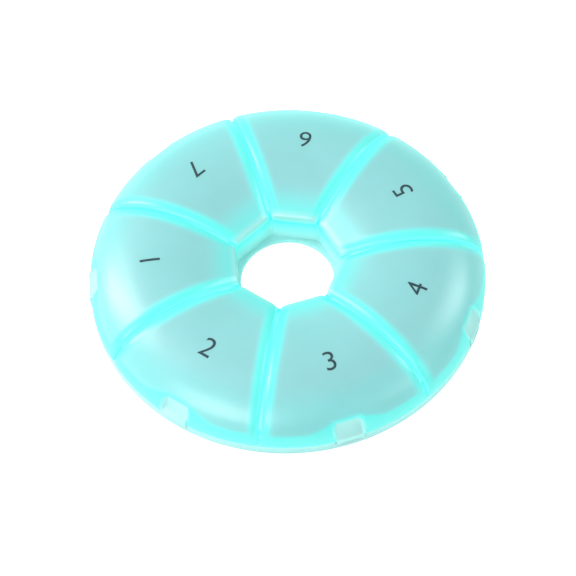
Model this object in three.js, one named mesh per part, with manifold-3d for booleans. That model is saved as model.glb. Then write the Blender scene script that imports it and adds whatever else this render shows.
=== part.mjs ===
// Weekly pill box: a round tray with seven compartments round a finger hole, under seven hinged lids.
// Millimetres, +Z up. The origin is on the table, under the middle of the finger hole.
// In a day's own frame, +X runs outwards through the middle of its lid and +Y runs along its hinge.

import * as THREE from "three";
import { mergeVertices } from "three/addons/utils/BufferGeometryUtils.js";
import Module from "manifold-3d";

const wasm = await Module();
wasm.setup();

// Days: how many there are, and which one faces the front, towards -Y
const day_count = 7;
const front_day = 3;

// Overall form
const outer_radius = 45;
const crown_height = 14;
const crown_radius = 28.5;
const finger_hole_radius = 10.7;

// Tray
const floor_thickness = 1.4;
const hole_edge_round = 0.4;
const rim_height = 3.3;
const rim_foot_round = 1.2;
const upstand_height = 1.9;
const upstand_thickness = 1.1;
const hub_inradius = 11.4;
const hub_wall_thickness = 1.2;
const hub_corner_round = 1.6;
const divider_thickness = 1;

// Lid
const lid_inner_height = 9.6;
const lid_wall = 1.15;
const lid_flange_depth = 1.5;
const lid_lip_overhang = 0.15;
const lid_edge_round_width = 2.1;
const lid_edge_round_depth = 0.8;
const lid_skirt_round_depth = 0.45;
const lid_lip_round_width = 0.9;
const lid_lip_round_depth = 0.45;
const plug_height = 1.8;
const plug_thickness = 0.9;
const plug_draft = 0.2;
const plug_end_setback = 3.5;

// Clearances
const lid_gap = 0.8;
const seam_gap = 0.3;
const seat_clearance = 0.3;
const lap_clearance = 0.5;
const plug_clearance = 0.45;
const strap_clearance = 0.3;
const strap_back_clearance = 0.15;

// Hinge
const hinge_set_back = 0.05;
const strap_width = 6.4;
const strap_height = 0.8;
const strap_thickness = 0.3;
const strap_waist = 0.22;
const tab_stand_off = 0.2;
const tab_root_width = 8;
const tab_tip_width = 7.6;
const tab_foot_height = 0.9;
const tab_foot_chamfer = 0.6;
const recess_width = 7;
const recess_radius = 6;
const recess_corner_round = 1.1;
const recess_foot_height = 4.45;
const recess_head_radius = 43;
const recess_head_height = 7.6;
const recess_wall = 0.8;
const recess_wall_lap = 0.8;
const lug_stand_off = 0.05;
const lug_root_depth = 0.8;
const relief_land = 1;
const relief_clearance = 0.4;

// Making: how far joined solids reach into each other, cutters reach past a face, and points count as one
const weld = 0.2;
const overrun = 1;
const same_point = 0.0001;

// How finely curves are divided
const segments_per_day = 12;
const round_segments = 2;
const hub_corner_segments = 3;
const recess_segments = 44;
const core_segments = 5;
const middle_spans = 6;
const inner_dome_spans = 3;
const outer_dome_spans = 2;
const shoulder_spans = 5;
const edge_point_share = 0.07;
const lip_point_shares = [0.13, 0.5];

// Heights, radii and angles that follow from the sizes above
const day_angle = (2 * Math.PI) / day_count;
const half_day = day_angle / 2;
const skirt_bottom = rim_height + seam_gap;
const upstand_top = rim_height + upstand_height;
const upstand_outer_radius = outer_radius - lid_wall - lap_clearance;
const upstand_inner_radius = upstand_outer_radius - upstand_thickness;
const hub_top = lid_inner_height - lid_flange_depth - seat_clearance;
const hub_outer_inradius = hub_inradius + hub_wall_thickness;
const lid_inner_edge = hub_inradius - lid_lip_overhang;
const hinge_radius = outer_radius - hinge_set_back;
const hinge_height = rim_height + seam_gap / 2;
const strap_bottom = hinge_height - strap_height / 2;
const strap_top = hinge_height + strap_height / 2;
const lug_bottom = strap_top + strap_clearance;
const tab_top = strap_bottom - strap_clearance;
const lug_radius = outer_radius + lug_stand_off;

const dayDirection = (day) => (day - front_day) * day_angle - Math.PI / 2;

// A closed three.js geometry as a solid that can be joined and cut.
function solidOf(geometry) {
  const bare = geometry.clone();
  bare.deleteAttribute("normal");
  bare.deleteAttribute("uv");
  const merged = mergeVertices(bare, same_point);
  const triVerts = new Uint32Array(merged.index.array);
  const vertProperties = new Float32Array(merged.attributes.position.array);
  const made = new wasm.Manifold(new wasm.Mesh({ numProp: 3, vertProperties, triVerts }));
  if (made.volume() > 0) return made;
  triVerts.reverse();
  return new wasm.Manifold(new wasm.Mesh({ numProp: 3, vertProperties, triVerts }));
}

// The solid's surface as a three.js geometry with flat faces.
function geometryOf(solid) {
  const mesh = solid.getMesh();
  const positions = new Float32Array(mesh.triVerts.length * 3);
  mesh.triVerts.forEach((vertex, corner) => {
    const start = vertex * mesh.numProp;
    positions.set(mesh.vertProperties.subarray(start, start + 3), corner * 3);
  });
  const geometry = new THREE.BufferGeometry();
  geometry.setAttribute("position", new THREE.BufferAttribute(positions, 3));
  geometry.computeVertexNormals();
  return geometry;
}

// A profile of (radius, height) points turned round the Z axis.
function revolved(points) {
  const closed = [...points, points[0]];
  return new THREE.LatheGeometry(closed, segments_per_day * day_count).rotateX(Math.PI / 2);
}

// A plan outline raised from one height to another.
function raised(shape, bottom, top) {
  const settings = { depth: top - bottom, bevelEnabled: false, curveSegments: hub_corner_segments };
  return new THREE.ExtrudeGeometry(shape, settings).translate(0, 0, bottom);
}

// An outline of (radius, height) given a width along the hinge, centred on the day's middle.
function widened(shape, width) {
  const settings = { depth: width, bevelEnabled: false };
  return new THREE.ExtrudeGeometry(shape, settings)
    .translate(0, 0, -width / 2)
    .rotateX(Math.PI / 2);
}

// A box given by its lowest and highest corners.
function boxBetween(low, high) {
  const size = high.clone().sub(low);
  const middle = high.clone().add(low).multiplyScalar(0.5);
  return new THREE.BoxGeometry(size.x, size.y, size.z).translate(middle.x, middle.y, middle.z);
}

// A seven-sided outline with a flat facing each day and rounded corners.
function hubOutline(inradius, round) {
  const shape = new THREE.Shape();
  const corner_distance = (inradius - round) / Math.cos(half_day);
  for (let day = 0; day < day_count; day++) {
    const facing = dayDirection(day);
    const corner = facing + half_day;
    const x = corner_distance * Math.cos(corner);
    const y = corner_distance * Math.sin(corner);
    shape.absarc(x, y, round, facing, facing + day_angle, false);
  }
  return shape;
}

// How far a rounded edge falls below the surface, at a distance in from the edge.
function roundDrop(distance, width, depth) {
  if (distance >= width) return 0;
  const left = 1 - distance / width;
  return depth * (1 - Math.sqrt(1 - left * left));
}

// A column of the lid's grid is a straight line in plan, from the lip at the hub to the skirt.
// Near a side it keeps a steady distance from it, and the columns between fan out evenly.
function sideColumn(side, edge_distance, zone) {
  const from_border = lid_gap / 2 + edge_distance;
  const along = Math.sqrt(outer_radius ** 2 - from_border ** 2);
  const lip_y = (lid_inner_edge * Math.sin(half_day) - from_border) / Math.cos(half_day);
  const lip = new THREE.Vector2(lid_inner_edge, side * lip_y);
  const skirt = new THREE.Vector2(
    from_border * Math.sin(half_day) + along * Math.cos(half_day),
    side * (along * Math.sin(half_day) - from_border * Math.cos(half_day)),
  );
  return { lip, skirt, edge_distance, zone };
}

function lidColumns() {
  const plug_start = divider_thickness / 2 + plug_clearance - lid_gap / 2;
  const plug_end = plug_start + plug_draft + plug_thickness;
  const steps = [
    [0, "flange"],
    [edge_point_share * lid_edge_round_width, "flange"],
    [plug_start, "flange"],
    [plug_start + plug_draft, "plug"],
    [plug_end, "plug"],
    [plug_end + plug_draft, "panel"],
  ];
  const right = steps.map(([distance, zone]) => sideColumn(-1, distance, zone));
  const left = steps.map(([distance, zone]) => sideColumn(1, distance, zone)).reverse();
  const last = left[0];
  const middle = [];
  for (let i = 1; i < middle_spans; i++) {
    const share = (2 * i) / middle_spans - 1;
    const angle = share * Math.atan2(last.skirt.y, last.skirt.x);
    const lip = new THREE.Vector2(lid_inner_edge, share * last.lip.y);
    const skirt = new THREE.Vector2(Math.cos(angle), Math.sin(angle)).multiplyScalar(outer_radius);
    middle.push({ lip, skirt, edge_distance: lid_edge_round_width, zone: "panel" });
  }
  return [...right, ...middle, ...left];
}

// The column's point at a distance from the hub's middle, measured square to the lip.
function columnAt(column, x) {
  const share = (x - column.lip.x) / (column.skirt.x - column.lip.x);
  return column.lip.clone().lerp(column.skirt, share);
}

// The column's point at a radius.
function columnAtRadius(column, radius) {
  const run = column.skirt.clone().sub(column.lip);
  const a = run.lengthSq();
  const b = column.lip.dot(run);
  const c = column.lip.lengthSq() - radius ** 2;
  const share = (Math.sqrt(b * b - a * c) - b) / a;
  return column.lip.clone().addScaledVector(run, share);
}

// A row of the grid on the inner half of the dome, which rises from the lip as a parabola.
function innerRow(x, zone, planPoint) {
  const span = crown_radius - lid_inner_edge;
  const rise = crown_height - lid_inner_height;
  const left = (crown_radius - x) / span;
  const slope = (2 * rise * left) / span;
  const normal = new THREE.Vector2(-slope, 1).normalize();
  const lip_drop = roundDrop(x - lid_inner_edge, lid_lip_round_width, lid_lip_round_depth);
  return { height: crown_height - rise * left ** 2, normal, zone, lip_drop, skirt_share: 0, planPoint };
}

// A row on the outer half, which falls to the skirt as a quarter of an ellipse.
function outerRow(angle, zone, skirt_share) {
  const run = outer_radius - crown_radius;
  const fall = crown_height - skirt_bottom;
  const normal = new THREE.Vector2(Math.sin(angle) / run, Math.cos(angle) / fall).normalize();
  const radius = crown_radius + run * Math.sin(angle);
  const planPoint = (column) => columnAtRadius(column, radius);
  return { height: skirt_bottom + fall * Math.cos(angle), normal, zone, lip_drop: 0, skirt_share, planPoint };
}

function lidRows() {
  const plug_start = hub_outer_inradius + plug_clearance;
  const plug_end = plug_start + plug_draft + plug_thickness;
  const lip_points = lip_point_shares.map((share) => lid_inner_edge + share * lid_lip_round_width);
  const steps = [
    [lid_inner_edge, "flange"],
    ...lip_points.map((x) => [x, "flange"]),
    [plug_start, "flange"],
    [plug_start + plug_draft, "plug"],
    [plug_end, "plug"],
    [plug_end + plug_draft, "panel"],
  ];
  const rows = steps.map(([x, zone]) => innerRow(x, zone, (column) => columnAt(column, x)));
  const panel_start = plug_end + plug_draft;
  for (let i = 1; i <= inner_dome_spans; i++) {
    const share = i / inner_dome_spans;
    const x = THREE.MathUtils.lerp(panel_start, crown_radius, share);
    const planPoint = (column) =>
      columnAt(column, panel_start).lerp(columnAtRadius(column, crown_radius), share);
    rows.push(innerRow(x, "panel", planPoint));
  }
  const angleAt = (radius) => Math.asin((radius - crown_radius) / (outer_radius - crown_radius));
  const plug_stop = angleAt(upstand_inner_radius - plug_end_setback);
  const shoulder_start = angleAt(upstand_inner_radius - plug_end_setback + plug_draft);
  for (let i = 1; i <= outer_dome_spans; i++) {
    rows.push(outerRow((plug_stop * i) / outer_dome_spans, "panel", 0));
  }
  for (let i = 0; i <= shoulder_spans; i++) {
    const share = i / shoulder_spans;
    rows.push(outerRow(THREE.MathUtils.lerp(shoulder_start, Math.PI / 2, share), "shoulder", share));
  }
  return rows;
}

// A point of the lid's outside, let down along the normal where an edge is rounded.
function outsidePoint(column, row) {
  const plan = row.planPoint(column);
  const edge_depth = THREE.MathUtils.lerp(lid_edge_round_depth, lid_skirt_round_depth, row.skirt_share);
  const edge_drop = roundDrop(column.edge_distance, lid_edge_round_width, edge_depth);
  const drop = Math.hypot(edge_drop, row.lip_drop);
  const inward = plan.clone().normalize().multiplyScalar(-row.normal.x * drop);
  return new THREE.Vector3(plan.x + inward.x, plan.y + inward.y, row.height - row.normal.y * drop);
}

// A point at a depth below the unrounded surface: straight below it on the dome, square to it at the skirt.
function pointBelow(column, row, depth) {
  const plan = row.planPoint(column);
  const square = row.skirt_share;
  const inward = plan.clone().normalize().multiplyScalar(-row.normal.x * depth * square);
  const fall = THREE.MathUtils.lerp(depth / row.normal.y, row.normal.y * depth, square);
  return new THREE.Vector3(plan.x + inward.x, plan.y + inward.y, row.height - fall);
}

// A point of the lid's inside: a thick flange at the edges, then the plug rib, then the panel.
function insidePoint(column, row) {
  if (row.zone === "shoulder") {
    const edge_depth = THREE.MathUtils.lerp(lid_flange_depth, lid_wall, row.skirt_share);
    return pointBelow(column, row, column.zone === "panel" ? lid_wall : edge_depth);
  }
  const zones = [column.zone, row.zone];
  if (zones.includes("flange")) return pointBelow(column, row, lid_flange_depth);
  if (!zones.includes("plug")) return pointBelow(column, row, lid_wall);
  const point = pointBelow(column, row, lid_flange_depth);
  point.z -= plug_height;
  return point;
}

// Two grids of points, an outside and an inside, closed round their edge into one solid.
function shellBetween(outside, inside) {
  const row_count = outside.length;
  const column_count = outside[0].length;
  const positions = [...outside.flat(), ...inside.flat()].flatMap((point) => point.toArray());
  const outer = (row, column) => row * column_count + column;
  const inner = (row, column) => row_count * column_count + outer(row, column);
  const index = [];
  const quad = (a, b, c, d) => index.push(a, b, c, a, c, d);
  for (let r = 0; r + 1 < row_count; r++) {
    for (let c = 0; c + 1 < column_count; c++) {
      quad(outer(r, c), outer(r + 1, c), outer(r + 1, c + 1), outer(r, c + 1));
      quad(inner(r, c), inner(r, c + 1), inner(r + 1, c + 1), inner(r + 1, c));
    }
    const end = column_count - 1;
    quad(outer(r, 0), inner(r, 0), inner(r + 1, 0), outer(r + 1, 0));
    quad(outer(r, end), outer(r + 1, end), inner(r + 1, end), inner(r, end));
  }
  for (let c = 0; c + 1 < column_count; c++) {
    const end = row_count - 1;
    quad(outer(0, c), outer(0, c + 1), inner(0, c + 1), inner(0, c));
    quad(outer(end, c), inner(end, c), inner(end, c + 1), outer(end, c + 1));
  }
  const geometry = new THREE.BufferGeometry();
  geometry.setAttribute("position", new THREE.Float32BufferAttribute(positions, 3));
  geometry.setIndex(index);
  return geometry;
}

// Centre of the round that the hinge recess is cut with: it passes through the recess's foot and head.
function recessCentre() {
  const foot = new THREE.Vector2(lug_radius, recess_foot_height);
  const head = new THREE.Vector2(recess_head_radius, recess_head_height);
  const chord = head.clone().sub(foot);
  const outwards = new THREE.Vector2(chord.y, -chord.x).normalize();
  const reach = Math.sqrt(recess_radius ** 2 - chord.lengthSq() / 4);
  return foot.add(head).multiplyScalar(0.5).addScaledVector(outwards, reach);
}

// The wheel-shaped body with rounded rims that the recess is cut with, its axle along the hinge.
function recessWheel() {
  const half = recess_width / 2;
  const round = recess_corner_round;
  const rim = new THREE.Path();
  rim.moveTo(0, -half);
  rim.lineTo(recess_radius - round, -half);
  rim.absarc(recess_radius - round, -half + round, round, -Math.PI / 2, 0, false);
  rim.absarc(recess_radius - round, half - round, round, 0, Math.PI / 2, false);
  rim.lineTo(0, half);
  const centre = recessCentre();
  return new THREE.LatheGeometry(rim.getPoints(round_segments), recess_segments)
    .translate(centre.x, 0, centre.y);
}

// The body of revolution that fills the outer half of the lid, a little below its surface.
function shoulderCore() {
  const run = outer_radius - crown_radius - weld;
  const fall = crown_height - skirt_bottom - weld;
  const points = [];
  for (let i = 0; i <= core_segments; i++) {
    const angle = (Math.PI / 2) * (i / core_segments);
    points.push(
      new THREE.Vector2(crown_radius + run * Math.sin(angle), skirt_bottom + fall * Math.cos(angle)),
    );
  }
  points.push(new THREE.Vector2(crown_radius, skirt_bottom));
  return revolved(points);
}

// The thin curved wall at the bottom of the hinge recess, with the lug that the strap runs into.
function recessWall() {
  const radius = recess_radius + recess_wall;
  const width = recess_width + 2 * recess_wall_lap;
  const centre = recessCentre();
  const thick = new THREE.CylinderGeometry(radius, radius, width, recess_segments)
    .translate(centre.x, 0, centre.y);
  const lug = new THREE.Shape([
    new THREE.Vector2(lug_radius, lug_bottom),
    new THREE.Vector2(lug_radius, recess_foot_height + overrun),
    new THREE.Vector2(lug_radius - overrun - lug_root_depth, recess_foot_height + overrun),
    new THREE.Vector2(outer_radius - lug_root_depth, lug_bottom),
  ]);
  return solidOf(thick)
    .intersect(solidOf(shoulderCore()))
    .add(solidOf(widened(lug, strap_width)));
}

// What is cut out of the rim's upper edge and the skirt's lower edge: the strap stands in it, clear of both.
function strapPocket() {
  const half_width = strap_width / 2 + strap_back_clearance;
  return boxBetween(
    new THREE.Vector3(hinge_radius - strap_thickness / 2 - strap_back_clearance, -half_width, tab_top),
    new THREE.Vector3(outer_radius + overrun, half_width, lug_bottom),
  );
}

function lidGeometry() {
  const columns = lidColumns();
  const rows = lidRows();
  const outside = rows.map((row) => columns.map((column) => outsidePoint(column, row)));
  const inside = rows.map((row) => columns.map((column) => insidePoint(column, row)));
  return geometryOf(
    solidOf(shellBetween(outside, inside))
      .add(recessWall())
      .subtract(solidOf(recessWheel()))
      .subtract(solidOf(strapPocket())),
  );
}

// The tray's floor, rim and upstand, turned from one profile.
function trayRing() {
  const profile = new THREE.Path();
  profile.moveTo(finger_hole_radius, hole_edge_round);
  profile.lineTo(finger_hole_radius + hole_edge_round, 0);
  profile.lineTo(outer_radius - rim_foot_round, 0);
  profile.absarc(outer_radius - rim_foot_round, rim_foot_round, rim_foot_round, -Math.PI / 2, 0, false);
  profile.lineTo(outer_radius, rim_height);
  profile.lineTo(upstand_outer_radius, rim_height);
  profile.lineTo(upstand_outer_radius, upstand_top);
  profile.lineTo(upstand_inner_radius, upstand_top);
  profile.lineTo(upstand_inner_radius, floor_thickness);
  profile.lineTo(finger_hole_radius, floor_thickness);
  return revolved(profile.getPoints(round_segments));
}

// The seven-sided wall round the finger hole, on the floor's ledge.
function hubWall() {
  const bottom = floor_thickness - weld;
  const outside = solidOf(raised(hubOutline(hub_outer_inradius, hub_corner_round), bottom, hub_top));
  const inside = hubOutline(hub_inradius, hub_corner_round);
  return outside.subtract(solidOf(raised(inside, bottom - overrun, hub_top + overrun)));
}

// A divider's top runs under the lids' flanges, a clearance below them.
function dividerGeometry() {
  const column = sideColumn(1, 0, "flange");
  const outwards = new THREE.Vector2(Math.cos(half_day), Math.sin(half_day));
  const top = lidRows().map((row) => {
    const point = pointBelow(column, row, lid_flange_depth + seat_clearance);
    return new THREE.Vector2(outwards.dot(point), point.z);
  });
  const start = new THREE.Vector2(hub_outer_inradius, floor_thickness - weld);
  const end = new THREE.Vector2(upstand_inner_radius + weld, floor_thickness - weld);
  const outline = new THREE.Shape([start, end, ...top.reverse(), new THREE.Vector2(start.x, top.at(-1).y)]);
  return widened(outline, divider_thickness);
}

// The small tab that stands out of the rim under a strap.
function hingeTab() {
  const tip = outer_radius + tab_stand_off;
  const root = outer_radius - rim_foot_round;
  const ring = revolved([
    new THREE.Vector2(root, tab_foot_height),
    new THREE.Vector2(tip - tab_foot_chamfer, tab_foot_height),
    new THREE.Vector2(tip, tab_foot_height + tab_foot_chamfer),
    new THREE.Vector2(tip, tab_top),
    new THREE.Vector2(root, tab_top),
  ]);
  const slope = (tab_root_width - tab_tip_width) / 2 / tab_stand_off;
  const halfWidthAt = (radius) => tab_tip_width / 2 + slope * (tip - radius);
  const plan = new THREE.Shape([
    new THREE.Vector2(root, -halfWidthAt(root)),
    new THREE.Vector2(tip + overrun, -halfWidthAt(tip + overrun)),
    new THREE.Vector2(tip + overrun, halfWidthAt(tip + overrun)),
    new THREE.Vector2(root, halfWidthAt(root)),
  ]);
  return solidOf(ring).intersect(solidOf(raised(plan, 0, upstand_top)));
}

// What is cut out of the upstand behind a hinge, where the recess's wall comes through.
function hingeRelief() {
  const half_width = recess_width / 2 + recess_wall_lap + relief_clearance;
  return boxBetween(
    new THREE.Vector3(upstand_inner_radius - overrun, -half_width, rim_height + relief_land),
    new THREE.Vector3(outer_radius, half_width, upstand_top + overrun),
  );
}

function trayGeometry() {
  let tray = solidOf(trayRing()).add(hubWall());
  const divider = dividerGeometry();
  const relief = hingeRelief();
  const pocket = strapPocket();
  const tab = geometryOf(hingeTab());
  for (let day = 1; day <= day_count; day++) {
    const facing = dayDirection(day);
    tray = tray
      .subtract(solidOf(relief.clone().rotateZ(facing)))
      .subtract(solidOf(pocket.clone().rotateZ(facing)))
      .add(solidOf(tab.clone().rotateZ(facing)))
      .add(solidOf(divider.clone().rotateZ(facing + half_day)));
  }
  const hole = new THREE.CylinderGeometry(
    finger_hole_radius,
    finger_hole_radius,
    crown_height * 2,
    segments_per_day * day_count,
  ).rotateX(Math.PI / 2);
  return geometryOf(tray.subtract(solidOf(hole)));
}

// The thin strap that bends: thinnest at the fold, where the hinge's axis runs.
function strapGeometry() {
  const half_end = strap_thickness / 2;
  const half_waist = strap_waist / 2;
  const section = new THREE.Shape([
    new THREE.Vector2(hinge_radius - half_end, strap_bottom),
    new THREE.Vector2(hinge_radius + half_end, strap_bottom),
    new THREE.Vector2(hinge_radius + half_waist, hinge_height),
    new THREE.Vector2(hinge_radius + half_end, strap_top),
    new THREE.Vector2(hinge_radius - half_end, strap_top),
    new THREE.Vector2(hinge_radius - half_waist, hinge_height),
  ]);
  return widened(section, strap_width);
}

const plastic = (color, roughness) => new THREE.MeshStandardMaterial({ color, roughness, metalness: 0 });

function named(name, geometry, material) {
  const mesh = new THREE.Mesh(geometry, material);
  mesh.name = name;
  return mesh;
}

const pillBox = new THREE.Group();
pillBox.add(named("base_tray", trayGeometry(), plastic(0xb4e8e9, 0.35)));

const lid_form = lidGeometry();
const strap_form = strapGeometry();
for (let day = 1; day <= day_count; day++) {
  const group = new THREE.Group();
  group.rotation.z = dayDirection(day);
  group.add(named(`lid_day_${day}`, lid_form.clone(), plastic(0x8edcda, 0.3)));
  group.add(named(`hinge_strap_day_${day}`, strap_form.clone(), plastic(0xa8f0ee, 0.4)));
  pillBox.add(group);
}

export default pillBox;
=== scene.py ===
"""A weekly pill box in frosted turquoise plastic: a round tray under seven hinged lids.

Metres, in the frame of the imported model: +Z up, with the origin on the table under the finger hole. In a
day's own frame, +X runs outwards through the middle of its lid and +Y runs along its hinge.
"""

import logging
import math
from contextlib import contextmanager
from dataclasses import dataclass, field
from enum import Enum
from typing import Callable, Iterator, Sequence

import bpy
from mathutils import Matrix, Vector


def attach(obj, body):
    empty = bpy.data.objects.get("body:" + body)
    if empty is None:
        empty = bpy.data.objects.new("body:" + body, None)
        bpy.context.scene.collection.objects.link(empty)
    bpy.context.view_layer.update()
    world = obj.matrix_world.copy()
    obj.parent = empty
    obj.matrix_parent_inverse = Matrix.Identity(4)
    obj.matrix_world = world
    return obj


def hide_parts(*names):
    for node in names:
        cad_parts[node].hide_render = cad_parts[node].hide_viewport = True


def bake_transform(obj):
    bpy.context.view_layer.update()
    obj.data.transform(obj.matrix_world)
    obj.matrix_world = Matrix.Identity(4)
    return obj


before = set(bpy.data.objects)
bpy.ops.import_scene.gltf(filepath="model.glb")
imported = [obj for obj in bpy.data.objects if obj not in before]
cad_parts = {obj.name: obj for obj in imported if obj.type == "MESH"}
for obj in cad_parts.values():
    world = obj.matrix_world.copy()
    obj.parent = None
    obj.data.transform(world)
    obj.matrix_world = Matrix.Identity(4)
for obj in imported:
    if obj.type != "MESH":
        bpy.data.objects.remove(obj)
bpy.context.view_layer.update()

log = logging.getLogger("pill_box")

MM = 0.001
FRAME_PIXELS = 576
SAME_POINT = 0.001 * MM

Colour = tuple[float, float, float]
Point = tuple[float, float]
Span = tuple[float, float]
Feed = bpy.types.NodeSocket | Colour | float

WHITE: Colour = (1, 1, 1)
STEERS = ("panel_core", "edge_glow", "thin_wall", "light_pipe")


class Zone(Enum):
    """What the underside of a lid does at a point of its grid."""

    FLANGE = "flange"
    PLUG = "plug"
    PANEL = "panel"
    SHOULDER = "shoulder"


class Join(Enum):
    """How one solid is worked into another."""

    ADD = "UNION"
    CUT = "DIFFERENCE"
    KEEP_COMMON = "INTERSECT"


def colour(red: int, green: int, blue: int) -> Colour:
    """Turns a screen colour into the linear colour that a shader takes.

    Args:
        red: Red, 0 to 255.
        green: Green, 0 to 255.
        blue: Blue, 0 to 255.

    Returns:
        The linear red, green and blue.
    """

    def linear(level: int) -> float:
        """One level of the screen's curve, made linear."""
        share = level / 255
        return share / 12.92 if share <= 0.04045 else ((share + 0.055) / 1.055) ** 2.4

    return linear(red), linear(green), linear(blue)


def smooth_step(start: float, end: float, value: float) -> float:
    """Goes from 0 at start to 1 at end, with no corner at either."""
    share = min(1.0, max(0.0, (value - start) / (end - start)))
    return share * share * (3 - 2 * share)


def mixed(a: float, b: float, share: float) -> float:
    """The value a share of the way from a to b."""
    return a + (b - a) * share


def direction(azimuth: float, elevation: float) -> Vector:
    """The unit vector at an azimuth from +X and an elevation, both in degrees."""
    a, e = math.radians(azimuth), math.radians(elevation)
    return Vector((math.cos(a) * math.cos(e), math.sin(a) * math.cos(e), math.sin(e)))


def select_only(piece: bpy.types.Object) -> None:
    """Deselects everything, then selects one piece and makes it the active one.

    Args:
        piece: The piece.
    """
    bpy.ops.object.select_all(action="DESELECT")
    piece.select_set(True)
    bpy.context.view_layer.objects.active = piece


@contextmanager
def editing(piece: bpy.types.Object, by: str = "FACE") -> Iterator[None]:
    """Opens a piece in edit mode with what was selected on its mesh, and closes it again.

    Args:
        piece: The piece to edit.
        by: What is selected by: VERT, EDGE or FACE.

    Returns:
        Nothing: the piece is in edit mode inside the with block.
    """
    select_only(piece)
    bpy.context.tool_settings.mesh_select_mode = (by == "VERT", by == "EDGE", by == "FACE")
    bpy.ops.object.mode_set(mode="EDIT")
    yield
    bpy.ops.object.mode_set(mode="OBJECT")


def clear_selection(piece: bpy.types.Object) -> None:
    """Deselects all vertices, edges and faces of a piece.

    Args:
        piece: The piece, in object mode.
    """
    mesh = piece.data
    for parts in (mesh.vertices, mesh.edges, mesh.polygons):
        parts.foreach_set("select", [False] * len(parts))


def select_edges(piece: bpy.types.Object, wanted: Callable[[Vector, Vector], bool]) -> None:
    """Selects the edges whose two ends satisfy a test.

    Args:
        piece: The piece, in object mode.
        wanted: Takes the two ends of an edge, and says whether it is selected.
    """
    clear_selection(piece)
    vertices = piece.data.vertices
    for edge in piece.data.edges:
        a, b = (vertices[i].co for i in edge.vertices)
        if wanted(a, b):
            edge.select = True
            for i in edge.vertices:
                vertices[i].select = True


def settle(piece: bpy.types.Object, name: str) -> bpy.types.Object:
    """Names a piece and moves its place into its mesh, so that its object sits at the origin.

    Args:
        piece: The piece.
        name: Its new name.

    Returns:
        The same piece.
    """
    piece.name = name
    piece.data.name = name
    select_only(piece)
    bpy.ops.object.transform_apply(location=True, rotation=True, scale=True)
    return piece


def apply_modifier(piece: bpy.types.Object, kind: str, **settings: object) -> None:
    """Adds one modifier to a piece and applies it.

    Args:
        piece: The piece to change.
        kind: The modifier's type.
        settings: The modifier's own settings.
    """
    select_only(piece)
    modifier = piece.modifiers.new(kind.lower(), kind)
    for key, value in settings.items():
        setattr(modifier, key, value)
    bpy.ops.object.modifier_apply(modifier=modifier.name)


def work(piece: bpy.types.Object, tool: bpy.types.Object, join: Join) -> bpy.types.Object:
    """Adds a tool solid to a piece, cuts it away or keeps what both share, and deletes the tool.

    Args:
        piece: The piece to change.
        tool: The solid to change it with.
        join: Which of the three.

    Returns:
        The same piece.
    """
    apply_modifier(piece, "BOOLEAN", object=tool, operation=join.value, solver="MANIFOLD")
    bpy.data.objects.remove(tool)
    return piece


def tidy(piece: bpy.types.Object) -> None:
    """Merges doubled points and turns every face outwards.

    Args:
        piece: The piece to tidy.
    """
    clear_selection(piece)
    with editing(piece):
        bpy.ops.mesh.select_all(action="SELECT")
        bpy.ops.mesh.remove_doubles(threshold=SAME_POINT)
        bpy.ops.mesh.normals_make_consistent(inside=False)


def outline_face(points: Sequence[Vector], name: str) -> bpy.types.Object:
    """A flat face with the given corners.

    Args:
        points: The corners, in order.
        name: The new object's name.

    Returns:
        An object with that one face.
    """
    bpy.ops.object.select_all(action="DESELECT")
    bpy.ops.mesh.primitive_circle_add(vertices=len(points), fill_type="NGON")
    made = bpy.context.object
    made.name = name
    for vertex, point in zip(made.data.vertices, points):
        vertex.co = point
    return made


def turned(profile: Sequence[Point], steps: int, name: str) -> bpy.types.Object:
    """A solid of revolution about the Z axis.

    Args:
        profile: Its closed outline as (radius, height) points.
        steps: How many steps make the full turn.
        name: The new object's name.

    Returns:
        The closed solid.
    """
    made = outline_face([Vector((radius, 0, height)) for radius, height in profile], name)
    with editing(made):
        bpy.ops.mesh.select_all(action="SELECT")
        bpy.ops.mesh.delete(type="ONLY_FACE")
    with editing(made, "EDGE"):
        bpy.ops.mesh.select_all(action="SELECT")
        bpy.ops.mesh.spin(steps=steps, angle=2 * math.pi, center=(0, 0, 0), axis=(0, 0, 1))
    tidy(made)
    return made


def raised(points: Sequence[Vector], rise: Vector, name: str) -> bpy.types.Object:
    """A flat outline extruded into a prism.

    Args:
        points: The outline's corners.
        rise: How far and which way it is extruded.
        name: The new object's name.

    Returns:
        The closed solid.
    """
    made = outline_face(points, name)
    with editing(made):
        bpy.ops.mesh.select_all(action="SELECT")
        bpy.ops.mesh.extrude_region_move(TRANSFORM_OT_translate={"value": rise})
    tidy(made)
    return made


def across(profile: Sequence[Point], width: float, name: str) -> bpy.types.Object:
    """An outline of (outwards, up) points in a day's frame, given a width along the hinge."""
    points = [Vector((x, -width / 2, z)) for x, z in profile]
    return raised(points, Vector((0, width, 0)), name)


def soften(piece: bpy.types.Object, width: float, above: float = 42, smooth_below: float = 38) -> None:
    """Rounds a piece's sharp edges with two faces each, and shades the rest smooth.

    Args:
        piece: The piece to finish.
        width: The width of the rounding.
        above: The angle in degrees above which an edge is rounded.
        smooth_below: The angle in degrees below which neighbouring faces shade as one.
    """
    apply_modifier(
        piece,
        "BEVEL",
        width=width,
        segments=2,
        limit_method="ANGLE",
        angle_limit=math.radians(above),
        use_clamp_overlap=True,
        miter_outer="MITER_ARC",
    )
    select_only(piece)
    bpy.ops.object.shade_smooth_by_angle(angle=math.radians(smooth_below))


def turned_copy(piece: bpy.types.Object, name: str, angle: float) -> bpy.types.Object:
    """A copy with its own mesh, turned about the Z axis, its place in its mesh.

    Args:
        piece: The piece to copy.
        name: The copy's name.
        angle: The turn in radians.

    Returns:
        The copy.
    """
    select_only(piece)
    bpy.ops.object.duplicate(linked=False)
    copy = bpy.context.object
    copy.rotation_euler = (0, 0, angle)
    return settle(copy, name)


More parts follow.
